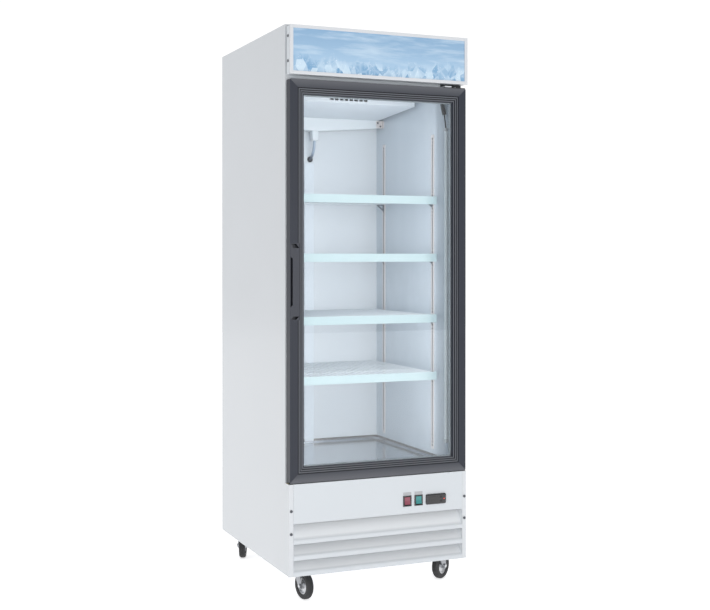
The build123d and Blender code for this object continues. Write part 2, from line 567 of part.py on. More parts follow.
# Clips: gusseted tabs that hook on the standards under each shelf
CLIP_REACH = 30.0
CLIP_DROP = 28.0
CLIP_T = 5.0
with BuildPart() as shelf_clips:
    face_x = CAVITY_HALF_W - STANDARD_T - 0.15
    for top_z in SHELF_TOPS_Z:
        seat_z = top_z - ROD_DROP - FRAME_WIRE_R - JOINT
        for side in (-1, 1):
            for y in STANDARD_Y:
                with BuildSketch(Plane.XZ.offset(-y - CLIP_T / 2)):
                    with BuildLine():
                        Polyline((side * face_x, seat_z), (side * (face_x - CLIP_REACH), seat_z),
                                 (side * (face_x - CLIP_REACH), seat_z - 4),
                                 (side * face_x, seat_z - CLIP_DROP), close=True)
                    make_face()
                    with BuildLine(mode=Mode.PRIVATE) as window:
                        Polyline((side * (face_x - 4), seat_z - 3.5), (side * (face_x - 22), seat_z - 3.5),
                                 (side * (face_x - 4), seat_z - 19), close=True)
                    make_face(window.edges(), mode=Mode.SUBTRACT)
                extrude(amount=CLIP_T)
keep_part(shelf_clips.part, "shelf_clips")

# ---------------------------------------------------------------- evaporator and drain
FAN_R = 68.0
GUARD_PITCH = (20.0, 12.0)       # short slots of the fan guard
GUARD_COUNT = (8, 12)
with BuildPart() as evaporator_housing:
    with BuildSketch(Plane.YZ.offset(-EVAP_HALF_W)):
        with BuildLine():
            Polyline((EVAP_Y[0], EVAP_FRONT_Z), (EVAP_Y[1], EVAP_BACK_Z), (EVAP_Y[1], CAVITY_TOP_Z - JOINT),
                     (EVAP_Y[0], CAVITY_TOP_Z - JOINT), close=True)
        make_face()
    extrude(amount=2 * EVAP_HALF_W)
    with BuildSketch(Plane.YZ.offset(-EVAP_HALF_W + 1.5)):
        with BuildLine():
            Polyline((EVAP_Y[0] + 1.5, EVAP_FRONT_Z + 2), (EVAP_Y[1] + 1, EVAP_BACK_Z + 2),
                     (EVAP_Y[1] + 1, CAVITY_TOP_Z), (EVAP_Y[0] + 1.5, CAVITY_TOP_Z), close=True)
        make_face()
    extrude(amount=2 * EVAP_HALF_W - 3, mode=Mode.SUBTRACT)
    with BuildSketch(Plane.XZ.offset(-EVAP_Y[0])):
        with Locations((0, FAN_Z)):
            with GridLocations(GUARD_PITCH[0], GUARD_PITCH[1], *GUARD_COUNT):
                Rectangle(GUARD_PITCH[0] - 5, GUARD_PITCH[1] - 5)
    extrude(amount=-1.5, mode=Mode.SUBTRACT)
keep_part(evaporator_housing.part, "evaporator_housing")


def finned_coil(x, y, z, pitch, rows, tube_r):
    """A bank of upright fins threaded on round tubes along X, in rows counted along Y and Z."""
    fin_t = 1.0
    inset = 18.0
    with BuildPart() as coil:
        for place in range(int((x[1] - x[0]) / pitch) + 1):
            fin_x = x[0] + place * pitch
            slab((fin_x, fin_x + fin_t), y, z)
        mid = ((x[0] + x[1] + fin_t) / 2, (y[0] + y[1]) / 2, (z[0] + z[1]) / 2)
        pitch_y = (y[1] - y[0] - 2 * inset) / (rows[0] - 1)
        pitch_z = (z[1] - z[0] - 2 * inset) / (rows[1] - 1)
        with Locations(Location(mid, (0, 90, 0))):
            with GridLocations(pitch_z, pitch_y, rows[1], rows[0]):
                Cylinder(tube_r, x[1] - x[0] + 12)
    return coil.part


keep_part(finned_coil((-240, 240), (0, 200), (1808, 1945), 12, (4, 3), 4.5), "evaporator_coil")


def axial_fan(centre, radius, hub_r, hub_length, blade_count, bore_r):
    """Fan rotor on an axis along Y: a hub with flat pitched blades."""
    with BuildPart() as rotor:
        bar(centre, hub_r, hub_length, "Y")
        for k in range(blade_count):
            turn = Location(centre, (0, 360.0 * k / blade_count, 0))
            with Locations(turn * Location((radius / 2 + hub_r / 4, 0, 0), (28, 0, 0))):
                Box(radius - hub_r / 2, 1.6, radius * 0.62)
        with Locations(Location(centre, (90, 0, 0))):
            Cylinder(radius, hub_length * 2.5, mode=Mode.INTERSECT)
        bar(centre, bore_r, hub_length * 3, "Y", mode=Mode.SUBTRACT)
    return rotor.part


def fan_motor(centre, radius, length, shaft_length, arm):
    """Motor can behind its fan, with the shaft through the hub and two mounting arms."""
    x, y, z = centre
    with BuildPart() as motor:
        bar((x, y + length / 2, z), radius, length, "Y")
        bar((x, y - shaft_length / 2, z), 3.0, shaft_length, "Y")
        slab((x - arm, x + arm), (y + length - 4, y + length), (z - 8, z + 8))
    return motor.part


keep_part(axial_fan((0, -80, FAN_Z), FAN_R, 18, 14, 5, 3.05), "evaporator_fan")
keep_part(fan_motor((0, -68, FAN_Z), 24, 44, 24, 85), "evaporator_fan_motor")

# Drain pan behind the housing: its floor falls from both ends to a spigot in the middle
PAN_BACK_Y = 292.0
PAN_END_Z = 1750.0
PAN_MID_Z = 1729.0
SPIGOT = (0.0, 262.0, 1689.0)
with BuildPart() as drain_pan:
    with BuildSketch(Plane.XZ.offset(-EVAP_Y[1] - JOINT)):
        with BuildLine():
            Polyline((-EVAP_HALF_W, EVAP_BACK_Z), (-EVAP_HALF_W, PAN_END_Z), (-16, PAN_MID_Z),
                     (16, PAN_MID_Z), (EVAP_HALF_W, PAN_END_Z), (EVAP_HALF_W, EVAP_BACK_Z), close=True)
        make_face()
    extrude(amount=-(PAN_BACK_Y - EVAP_Y[1]))
    with BuildSketch(Plane.XZ.offset(-EVAP_Y[1] - 2)):
        with BuildLine():
            Polyline((-EVAP_HALF_W + 2, EVAP_BACK_Z + 1), (-EVAP_HALF_W + 2, PAN_END_Z + 2),
                     (-16, PAN_MID_Z + 2), (16, PAN_MID_Z + 2), (EVAP_HALF_W - 2, PAN_END_Z + 2),
                     (EVAP_HALF_W - 2, EVAP_BACK_Z + 1), close=True)
        make_face()
    extrude(amount=-(PAN_BACK_Y - EVAP_Y[1] - 4), mode=Mode.SUBTRACT)
    bar((SPIGOT[0], SPIGOT[1], PAN_MID_Z - 5), 14, 10, "Z")
    bar((SPIGOT[0], SPIGOT[1], (PAN_MID_Z - 10 + SPIGOT[2]) / 2), 11, PAN_MID_Z - 10 - SPIGOT[2], "Z")
    bar((SPIGOT[0], SPIGOT[1], PAN_MID_Z), 3.5, 100, "Z", mode=Mode.SUBTRACT)
keep_part(drain_pan.part, "drain_pan")

keep_part(flexible(HOSE_ROUTE, HOSE_R), "drain_hose")

# ---------------------------------------------------------------- lamp on the right wall
LAMP_Z = (524.0, 1694.0)
with BuildPart() as lamp_bar:
    with BuildSketch(Plane.XY.offset(LAMP_Z[0])):
        with Locations((CAVITY_HALF_W - 0.1, -339)):
            Rectangle(6, 15, align=(Align.MAX, Align.CENTER))
        with Locations((CAVITY_HALF_W - 6.7, -339)):
            Circle(6.5)
    extrude(amount=LAMP_Z[1] - LAMP_Z[0])
keep_part(lamp_bar.part, "lamp_bar")

lead = flexible(LEAD_ROUTE, LEAD_R)
keep_part(lead, "lamp_lead")
with BuildPart() as lamp_connector:
    start = Vector(*LEAD_ROUTE[1])
    run = Vector(*LEAD_ROUTE[3]) - start
    with BuildSketch(Plane(origin=start, z_dir=run)):
        RectangleRounded(13, 11, 2.5)
    extrude(amount=run.length)
    add(lead, mode=Mode.SUBTRACT)
keep_part(lamp_connector.part, "lamp_connector")

# ---------------------------------------------------------------- machine compartment
DECK_Z = PAN_Z + PAN_T + JOINT
COMPRESSOR = (150.0, 240.0)
with BuildPart() as compressor:
    with BuildSketch(Plane.XY.offset(DECK_Z + 14)):
        with Locations(COMPRESSOR):
            Ellipse(92, 72)
    extrude(amount=150)
    fillet(compressor.edges().filter_by(GeomType.ELLIPSE), radius=32)
    with Locations((COMPRESSOR[0], COMPRESSOR[1], DECK_Z + 10)):
        Box(190, 120, 6)
    for dx in (-82, 82):
        for dy in (-48, 48):
            bar((COMPRESSOR[0] + dx, COMPRESSOR[1] + dy, DECK_Z + 5), 9, 10, "Z")
keep_part(compressor.part, "compressor")

keep_part(finned_coil((-250, 38), (-290, -225), (DECK_Z, 375), 9, (2, 8), 4.5), "condenser_coil")

FAN_CENTRE = (-105.0, -190.0, 250.0)
keep_part(axial_fan(FAN_CENTRE, 100, 24, 20, 4, 3.05), "condenser_fan")
keep_part(fan_motor((FAN_CENTRE[0], FAN_CENTRE[1] + 16, FAN_CENTRE[2]), 34, 60, 30, 120),
          "condenser_fan_motor")

with BuildPart() as electrical_box:
    slab((75, 275), (-345, -262), (292, 375))
    slab((78, 272), (-342, -265), (295, 376), mode=Mode.SUBTRACT)
    slab((75, 275), (-345, -262), (375, 378))
keep_part(electrical_box.part, "electrical_box")

with BuildPart() as condensate_tray:
    slab((-300, -20), (150, 360), (DECK_Z, DECK_Z + 45))
    slab((-297, -23), (153, 357), (DECK_Z + 2, DECK_Z + 46), mode=Mode.SUBTRACT)
keep_part(condensate_tray.part, "condensate_tray")

REAR_Y = (BACK_Y - 18, BACK_Y - 17)
GLAND = (-300.0, 180.0)
with BuildPart() as rear_grille:
    slab((-HALF_W + SHEET + 1, HALF_W - SHEET - 1), REAR_Y, (PAN_Z, BOX_Z - SHEET - JOINT))
    with BuildSketch(Plane.XZ.offset(-REAR_Y[1])):
        with Locations((40, 265)):
            with GridLocations(130, 14, 4, 12):
                SlotOverall(110, 5)
        with Locations(GLAND):
            Circle(9)
    extrude(amount=SHEET, mode=Mode.SUBTRACT)
keep_part(rear_grille.part, "rear_grille")

# Gland where the supply cord would leave: flange outside, threaded neck through the panel, nut inside
with BuildPart() as cord_gland:
    bar((GLAND[0], REAR_Y[0] - 6, GLAND[1]), 8.8, 26, "Y")
    bar((GLAND[0], REAR_Y[1] + 2.5, GLAND[1]), 12, 5, "Y")
    bar((GLAND[0], REAR_Y[0] - 3, GLAND[1]), 12, 6, "Y")
    bar((GLAND[0], REAR_Y[1], GLAND[1]), 4.5, 60, "Y", mode=Mode.SUBTRACT)
    fillet(cord_gland.edges().group_by(Axis.Y)[-1].sort_by(SortBy.RADIUS)[-1], radius=0.8)
keep_part(cord_gland.part, "cord_gland")

# Suction and liquid lines to the evaporator, and the discharge line to the condenser
LINE_BEND = 16.0
line_y = 378.5
(suction_x, suction_z, suction_r), (liquid_x, liquid_z, liquid_r) = LINE_PORTS
suction = tube(((suction_x, 311.0, 235), (suction_x, line_y, 235), (suction_x, line_y, suction_z),
                (suction_x, 200.2, suction_z)), LINE_BEND, suction_r)
liquid = tube(((40.2, -258, 350), (liquid_x, -258, 350), (liquid_x, line_y, 350),
               (liquid_x, line_y, liquid_z), (liquid_x, 200.2, liquid_z)), LINE_BEND, liquid_r)
discharge = tube(((105, 177.0, 200), (105, -250, 200), (40.2, -250, 200)), LINE_BEND, liquid_r)
keep_part(Part() + [suction, liquid, discharge], "refrigerant_lines")


# ---------------------------------------------------------------- casters
def caster_fork():
    """Swivel fork with king pin and axle; the wheel trails towards +X."""
    crown_z = PLATE_Z - 0.5
    leg_y = WHEEL_W / 2 + 3.0
    with BuildPart() as fork:
        bar((0, 0, crown_z - 5), 27, 10, "Z")
        bar((0, 0, crown_z + 1), KINGPIN_R, PLATE_T + 1.4, "Z")
        slab((-22, 30), (-leg_y - 3, leg_y + 3), (crown_z - 13, crown_z - 10))
        for side in (-1, 1):
            with BuildSketch(Plane.XZ.offset(side * leg_y)):
                with BuildLine():
                    Polyline((-22, crown_z - 10), (30, crown_z - 10), (TRAIL + 11, WHEEL_R + 4),
                             (TRAIL + 6, WHEEL_R - 10), (TRAIL - 8, WHEEL_R - 9), close=True)
                make_face()
            extrude(amount=side * 3)
        bar((TRAIL, 0, WHEEL_R), AXLE_R, 2 * leg_y + 12, "Y")
        for side in (-1, 1):
            bar((TRAIL, side * (leg_y + 4.5), WHEEL_R), 8, 3, "Y")
    return fork.part


def caster_wheel():
    """Steel disc hub with a boss, inside a grooved rubber tyre; both are rings about the axle."""
    axle = Axis((TRAIL, 0, WHEEL_R), (0, 1, 0))
    half = WHEEL_W / 2
    bore = AXLE_R + PIN_CLEARANCE
    rim_r = 31.0
    with BuildPart() as hub:
        with BuildSketch(Plane.XY.offset(WHEEL_R)):
            with BuildLine():
                Polyline((TRAIL + bore, -half - 2), (TRAIL + 11, -half - 2), (TRAIL + 12, -7),
                         (TRAIL + 24, -5), (TRAIL + 27, -9), (TRAIL + rim_r, -9), (TRAIL + rim_r, 9),
                         (TRAIL + 27, 9), (TRAIL + 24, 5), (TRAIL + 12, 7), (TRAIL + 11, half + 2),
                         (TRAIL + bore, half + 2), close=True)
            make_face()
        revolve(axis=axle, revolution_arc=360)
    with BuildPart() as tyre:
        with BuildSketch(Plane.XY.offset(WHEEL_R)):
            with BuildLine():
                Polyline((TRAIL + rim_r + JOINT, -half + 1), (TRAIL + 44, -half), (TRAIL + 47.5, -9),
                         (TRAIL + WHEEL_R, -6), (TRAIL + WHEEL_R, 6), (TRAIL + 47.5, 9), (TRAIL + 44, half),
                         (TRAIL + rim_r + JOINT, half - 1), close=True)
            make_face()
            for y in (-3.5, 3.5):
                with Locations((TRAIL + WHEEL_R, y)):
                    Rectangle(3, 1.6, mode=Mode.SUBTRACT)
        revolve(axis=axle, revolution_arc=360)
    return Part() + [hub.part, tyre.part]


fork = caster_fork()
wheel = caster_wheel()
for place, (pin_x, pin_y, trail) in CASTERS.items():
    swivel = Location((pin_x, pin_y, 0), (0, 0, degrees(atan2(trail[1], trail[0]))))
    keep_part(swivel * fork, f"caster_fork_{place}")
    keep_part(swivel * wheel, f"caster_wheel_{place}")


# ---------------------------------------------------------------- write every piece
os.makedirs("parts", exist_ok=True)
for piece in PARTS:
    export_step(piece, f"parts/{piece.label}.step")
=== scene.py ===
"""Looks of a one-door glass merchandiser refrigerator on casters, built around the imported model."""
import json
from math import cos, pi, radians, sin

import bmesh
import bpy
from mathutils import Matrix, Vector


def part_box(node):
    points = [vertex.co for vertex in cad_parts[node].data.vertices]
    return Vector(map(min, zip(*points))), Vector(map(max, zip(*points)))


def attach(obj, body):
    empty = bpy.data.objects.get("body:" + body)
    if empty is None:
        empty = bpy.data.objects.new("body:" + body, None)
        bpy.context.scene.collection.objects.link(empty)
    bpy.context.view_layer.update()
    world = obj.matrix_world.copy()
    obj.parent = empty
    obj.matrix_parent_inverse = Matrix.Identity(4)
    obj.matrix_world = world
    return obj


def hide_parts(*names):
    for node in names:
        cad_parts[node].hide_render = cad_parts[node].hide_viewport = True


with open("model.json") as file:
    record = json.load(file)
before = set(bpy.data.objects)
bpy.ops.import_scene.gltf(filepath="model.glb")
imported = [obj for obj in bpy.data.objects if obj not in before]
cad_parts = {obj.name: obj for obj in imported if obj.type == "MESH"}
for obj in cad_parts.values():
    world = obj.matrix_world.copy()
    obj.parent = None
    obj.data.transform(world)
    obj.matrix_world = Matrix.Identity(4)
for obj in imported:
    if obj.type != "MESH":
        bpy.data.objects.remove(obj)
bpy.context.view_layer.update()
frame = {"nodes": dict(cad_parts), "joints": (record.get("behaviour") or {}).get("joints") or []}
nodes = frame["nodes"]
joints = {joint["name"]: joint for joint in frame["joints"]}

MM = 0.001
CORNERS = ("front_left", "front_right", "rear_left", "rear_right")
HUB_RADIUS = 31.1 * MM           # bare steel inside it, rubber outside
STRIP_DEPTH = 3.2 * MM           # price strip, from the front of a shelf
GROOVE_SHADE_INSETS = (31.0, 38.0, 45.0)     # insets from the outer edge of the door, in mm, of the painted shade lines in the grooves
# insets from the outer edge of the door, in mm, of the painted highlight lines on the beads
BEAD_HIGHLIGHT_INSETS = (34.5, 41.5, 48.3)
SKY_STRENGTH = 0.58
BACKDROP_STRENGTH = 1.05


# ---------------------------------------------------------------- camera
HEADING = 0.4048                 # from +Y towards +X
PITCH = -0.0031
scene = bpy.context.scene
camera_data = bpy.data.cameras.new("camera")
camera_data.sensor_width = 36.0
camera_data.lens = 60.33
camera_data.shift_y = -0.0635
camera = bpy.data.objects.new("camera", camera_data)
camera.location = (-1.765, -4.280, 1.217)
camera.rotation_euler = (pi / 2 + PITCH, 0, -HEADING)
scene.collection.objects.link(camera)
scene.camera = camera


# ---------------------------------------------------------------- node helpers
class Tree:
    """A small wrapper that adds nodes to a material and links them by name."""

    def __init__(self, name):
        self.material = bpy.data.materials.new(name)
        self.material.use_nodes = True
        self.nodes = self.material.node_tree.nodes
        self.links = self.material.node_tree.links
        self.shader = self.nodes["Principled BSDF"]
        self.output = self.nodes["Material Output"]
        self.place = self.add("ShaderNodeTexCoord").outputs["Object"]

    def add(self, kind, **settings):
        node = self.nodes.new(kind)
        for key, value in settings.items():
            setattr(node, key, value)
        return node

    def feed(self, socket, value):
        """Links an output to a socket, or sets the socket to a plain value."""
        if isinstance(value, bpy.types.NodeSocket):
            self.links.new(value, socket)
        else:
            socket.default_value = value

    def stretch(self, scale, turn=(0, 0, 0)):
        """Object coordinates, scaled along each axis."""
        node = self.add("ShaderNodeMapping")
        self.links.new(self.place, node.inputs["Vector"])
        node.inputs["Scale"].default_value = scale
        node.inputs["Rotation"].default_value = turn
        return node.outputs["Vector"]

    def noise(self, vector, scale, detail=3.0, roughness=0.5):
        node = self.add("ShaderNodeTexNoise")
        self.links.new(vector, node.inputs["Vector"])
        node.inputs["Scale"].default_value = scale
        node.inputs["Detail"].default_value = detail
        node.inputs["Roughness"].default_value = roughness
        return node.outputs["Fac"]

    def cells(self, vector, scale, feature="F1", output="Distance"):
        node = self.add("ShaderNodeTexVoronoi", feature=feature)
        self.links.new(vector, node.inputs["Vector"])
        node.inputs["Scale"].default_value = scale
        return node.outputs[output]

    def math(self, operation, first, second=0.0, clamp=False):
        node = self.add("ShaderNodeMath", operation=operation, use_clamp=clamp)
        self.feed(node.inputs[0], first)
        self.feed(node.inputs[1], second)
        return node.outputs[0]

    def band(self, value, low, high, to_low=0.0, to_high=1.0):
        """Maps one range onto another, clamped."""
        node = self.add("ShaderNodeMapRange", clamp=True)
        self.feed(node.inputs["Value"], value)
        for name, number in zip(("From Min", "From Max", "To Min", "To Max"), (low, high, to_low, to_high)):
            node.inputs[name].default_value = number
        return node.outputs["Result"]

    def mix(self, share, first, second, blend="MIX"):
        node = self.add("ShaderNodeMix", data_type="RGBA", blend_type=blend)
        self.feed(node.inputs["Factor"], share)
        for socket, value in ((node.inputs["A"], first), (node.inputs["B"], second)):
            if not isinstance(value, bpy.types.NodeSocket) and len(value) == 3:
                value = (*value, 1.0)
            self.feed([s for s in node.inputs if s.name == socket.name and s.type == "RGBA"][0], value)
        return [s for s in node.outputs if s.type == "RGBA"][0]

    def axis(self, name):
        """One object coordinate, in metres."""
        node = self.add("ShaderNodeSeparateXYZ")
        self.links.new(self.place, node.inputs[0])
        return node.outputs[name]

    def bump(self, height, distance, strength=1.0, normal=None):
        node = self.add("ShaderNodeBump")
        node.inputs["Strength"].default_value = strength
        node.inputs["Distance"].default_value = distance
        self.links.new(height, node.inputs["Height"])
        if normal is not None:
            self.links.new(normal, node.inputs["Normal"])
        return node.outputs["Normal"]


def finish(name, colour, roughness, metallic=0.0, mottle=0.04, mottle_scale=5.0, grain=(1, 1, 1),
           grain_scale=400.0, grain_depth=0.00004, spread=0.06, coat=0.0, specular=0.5):
    """A solid finish: faint uneven colour, uneven gloss and a fine surface grain."""
    tree = Tree(name)
    shader = tree.shader
    cloud = tree.noise(tree.place, mottle_scale, detail=4.0)
    fine = tree.noise(tree.stretch(grain), grain_scale, detail=2.0)
    dark = tuple(c * (1 - mottle) for c in colour)
    light = tuple(min(1.0, c * (1 + mottle)) for c in colour)
    tree.links.new(tree.mix(cloud, dark, light), shader.inputs["Base Color"])
    uneven = tree.math("ADD", tree.math("MULTIPLY", cloud, 0.6), tree.math("MULTIPLY", fine, 0.4))
    gloss = tree.band(uneven, 0.25, 0.75, roughness - spread, roughness + spread)
    tree.links.new(gloss, shader.inputs["Roughness"])
    shader.inputs["Metallic"].default_value = metallic
    shader.inputs["Coat Weight"].default_value = coat
    shader.inputs["Coat Roughness"].default_value = 0.12
    shader.inputs["Specular IOR Level"].default_value = specular
    tree.links.new(tree.bump(fine, grain_depth), shader.inputs["Normal"])
    return tree


# ---------------------------------------------------------------- finishes
def header_picture_material():
    """Backlit film: a blue sky with drifting cloud bands over a row of pale ice crystals."""
    low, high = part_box("header_picture")
    tree = Tree("header_film")
    height = tree.band(tree.axis("Z"), low[2], high[2])
    sky = tree.mix(height, (0.36, 0.52, 0.69), (0.23, 0.38, 0.56))
    drift = tree.noise(tree.stretch((2.2, 1, 16), (0, 0.05, 0)), 2.4, detail=5.0, roughness=0.55)
    clouds = tree.band(drift, 0.46, 0.74)
    sky = tree.mix(tree.math("MULTIPLY", clouds, 0.75), sky, (0.58, 0.70, 0.80))
    haze = tree.band(height, 0.62, 0.18)
    sky = tree.mix(tree.math("MULTIPLY", haze, 0.45), sky, (0.40, 0.56, 0.72))
    # crystals: tall facets whose tops rise and fall along the film
    skyline = tree.noise(tree.stretch((1, 0, 0)), 13.0, detail=5.0, roughness=0.72)
    broad = tree.noise(tree.stretch((1, 0, 0)), 6.0, detail=1.0)
    rise = tree.band(skyline, 0.3, 0.7, 0.12, 0.46)
    top = tree.math("ADD", rise, tree.band(broad, 0.35, 0.65, -0.08, 0.10))
    top = tree.math("ADD", top, tree.band(tree.axis("X"), low[0] + 0.16, low[0], 0.0, 0.14))
    inside = tree.band(tree.math("SUBTRACT", top, height), -0.05, 0.10)
    facet = tree.cells(tree.stretch((1, 0, 0.62), (0, 0.35, 0)), 46.0, output="Color")
    facet_grey = tree.add("ShaderNodeRGBToBW")
    tree.links.new(facet, facet_grey.inputs[0])
    veins = tree.cells(tree.stretch((1, 0, 0.7), (0, -0.5, 0)), 34.0, feature="DISTANCE_TO_EDGE")
    ice = tree.mix(tree.band(facet_grey.outputs[0], 0.25, 0.8), (0.16, 0.33, 0.53), (0.52, 0.66, 0.78))
    ice = tree.mix(tree.band(veins, 0.16, 0.0, 0.0, 0.28), ice, (0.70, 0.80, 0.88))
    body = tree.math("MULTIPLY", inside, tree.band(height, 0.62, 0.1, 0.35, 0.95))
    picture = tree.mix(body, sky, ice)
    spark = tree.band(tree.noise(tree.place, 260.0, detail=1.0), 0.68, 0.76)
    picture = tree.mix(tree.math("MULTIPLY", spark, inside), picture, (1, 1, 1))
    grain = tree.noise(tree.place, 900.0)
    shader = tree.shader
    tree.links.new(picture, shader.inputs["Base Color"])
    tree.links.new(picture, shader.inputs["Emission Color"])
    shader.inputs["Emission Strength"].default_value = 0.06
    tree.links.new(tree.band(grain, 0.3, 0.7, 0.16, 0.26), shader.inputs["Roughness"])
    tree.links.new(tree.bump(grain, 0.00002), shader.inputs["Normal"])
    tree.feed(shader.inputs["Coat Weight"], 0.3)
    return tree.material


def glass_material():
    """Clear toughened glass: a cool tint, faint wipe marks, and a mirror that grows at a glancing angle."""
    tree = Tree("clear_glass")
    mirror = tree.add("ShaderNodeBsdfGlossy")
    clear = tree.add("ShaderNodeBsdfTransparent")
    clear.inputs["Color"].default_value = (0.975, 0.985, 0.99, 1)
    mirror.inputs["Color"].default_value = (0.95, 0.98, 1.0, 1)
    fresnel = tree.add("ShaderNodeFresnel")
    fresnel.inputs["IOR"].default_value = 1.45
    wipes = tree.noise(tree.stretch((1.2, 1, 0.35), (0, 0.5, 0)), 7.0, detail=6.0, roughness=0.6)
    tree.links.new(tree.band(wipes, 0.45, 0.8, 0.012, 0.05), mirror.inputs["Roughness"])
    both = tree.add("ShaderNodeMixShader")
    tree.links.new(tree.math("MULTIPLY", fresnel.outputs[0], 0.8), both.inputs["Fac"])
    tree.links.new(clear.outputs[0], both.inputs[1])
    tree.links.new(mirror.outputs[0], both.inputs[2])
    tree.links.new(both.outputs[0], tree.output.inputs["Surface"])
    return tree.material


def shelf_material(strip_back):
    """Two finishes of one shelf: pale price strip in front of strip_back, coated wires behind it."""
    tree = finish("shelf_coat", (0.72, 0.76, 0.79), 0.32, mottle=0.03, grain_depth=0.00003, coat=0.3)
    shader = tree.shader
    base = shader.inputs["Base Color"].links[0].from_socket
    strip = tree.band(tree.axis("Y"), strip_back + 0.0002, strip_back - 0.0002)
    fade = tree.noise(tree.stretch((1, 1, 1)), 14.0, detail=3.0)
    cyan = tree.mix(fade, (0.66, 0.82, 0.85), (0.74, 0.88, 0.90))
    tree.links.new(tree.mix(strip, base, cyan), shader.inputs["Base Color"])
    return tree.material


def wheel_material(corner):
    """Steel hub and black rubber tyre, told apart by the distance from the axle line."""
    joint = joints[f"caster_{corner}_spin"]
    tree = finish(f"wheel_{corner}", (0.022, 0.022, 0.024), 0.62, mottle=0.25, mottle_scale=60,
                  grain_scale=900, grain_depth=0.00008)
    shader = tree.shader
    away = tree.add("ShaderNodeVectorMath", operation="SUBTRACT")
    tree.links.new(tree.place, away.inputs[0])
    away.inputs[1].default_value = joint["pos_m"]
    along = tree.add("ShaderNodeVectorMath", operation="CROSS_PRODUCT")
    tree.links.new(away.outputs[0], along.inputs[0])
    along.inputs[1].default_value = joint["axis"]
    size = tree.add("ShaderNodeVectorMath", operation="LENGTH")
    tree.links.new(along.outputs[0], size.inputs[0])
    hub = tree.math("LESS_THAN", size.outputs["Value"], HUB_RADIUS)
    base = shader.inputs["Base Color"].links[0].from_socket
    rough = shader.inputs["Roughness"].links[0].from_socket
    worn = tree.noise(tree.place, 130.0, detail=4.0)
    steel = tree.mix(worn, (0.50, 0.51, 0.53), (0.68, 0.69, 0.71))
    tree.links.new(tree.mix(hub, base, steel), shader.inputs["Base Color"])
    tree.links.new(tree.math("MULTIPLY", hub, 0.85), shader.inputs["Metallic"])
    smooth = tree.math("MULTIPLY", rough, tree.band(hub, 0, 1, 1.0, 0.45))
    tree.links.new(smooth, shader.inputs["Roughness"])
    return tree.material


def liner_material():
    """Pale blue-grey enamel, with painted shade on the side walls: they are coloured darker than the back,
    floor and ceiling.
    """
    tree = finish("liner_enamel", (0.73, 0.755, 0.785), 0.26, mottle=0.02, mottle_scale=2.5, grain_scale=500,
                  grain_depth=0.00004, coat=0.3)
    half_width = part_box("inner_liner")[1][0] - 1.0 * MM
    sheet = tree.shader.inputs["Base Color"].links[0].from_socket
    streaks = tree.noise(tree.stretch((1, 5, 0.3)), 3.0, detail=3.0)
    # painted shade: the side walls take a darker colour for the shade that falls on them
    side_wall_painted_shade = tree.mix(streaks, (0.54, 0.60, 0.665), (0.62, 0.675, 0.73))
    side = tree.band(tree.math("ABSOLUTE", tree.axis("X")), half_width - 0.8 * MM, half_width - 0.2 * MM)
    tree.links.new(tree.mix(side, sheet, side_wall_painted_shade), tree.shader.inputs["Base Color"])
    return tree.material


def tray_material():
    """Brushed stainless floor tray with a duller, darker fold along its rim."""
    tree = finish("stainless", (0.42, 0.45, 0.49), 0.17, metallic=1.0, mottle=0.05, mottle_scale=4,
                  grain=(0.02, 1, 1), grain_scale=1500, grain_depth=0.00002, spread=0.05)
    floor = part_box("floor_tray")[0][2]
    sheet = tree.shader.inputs["Base Color"].links[0].from_socket
    fold = tree.band(tree.axis("Z"), floor + 5 * MM, floor + 8 * MM)
    tree.links.new(tree.mix(fold, sheet, (0.20, 0.185, 0.18)), tree.shader.inputs["Base Color"])
    return tree.material


def hose_material():
    """Clear grey-blue hose whose lower end is coloured dark as painted shade."""
    tree = finish("hose_plastic", (0.40, 0.47, 0.58), 0.22, mottle=0.12, mottle_scale=60, coat=0.4)
    base = tree.shader.inputs["Base Color"].links[0].from_socket
    # painted shade: the hose darkens towards its lower end
    hose_end_painted_shade = tree.band(tree.axis("Z"), 1.640, 1.622)
    tree.links.new(tree.mix(hose_end_painted_shade, base, (0.10, 0.115, 0.15)), tree.shader.inputs["Base Color"])
    return tree.material


def grille_material():
    """Panel enamel, with the louvres behind the front sheet painted paler: painted light that offsets the
    shade in their recesses.
    """
    tree = finish("grille_enamel", (0.60, 0.635, 0.67), 0.34, mottle=0.012, grain_scale=700,
                  grain_depth=0.000035, coat=0.15)
    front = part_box("front_grille")[0][1]
    front_sheet = tree.shader.inputs["Base Color"].links[0].from_socket
    # painted light: the louvres get a paler colour than the front sheet
    louvre_painted_light = tree.band(tree.axis("Y"), front + 1.2 * MM, front + 9 * MM)
    tree.links.new(tree.mix(louvre_painted_light, front_sheet, (0.86, 0.89, 0.92)), tree.shader.inputs["Base Color"])
    return tree.material


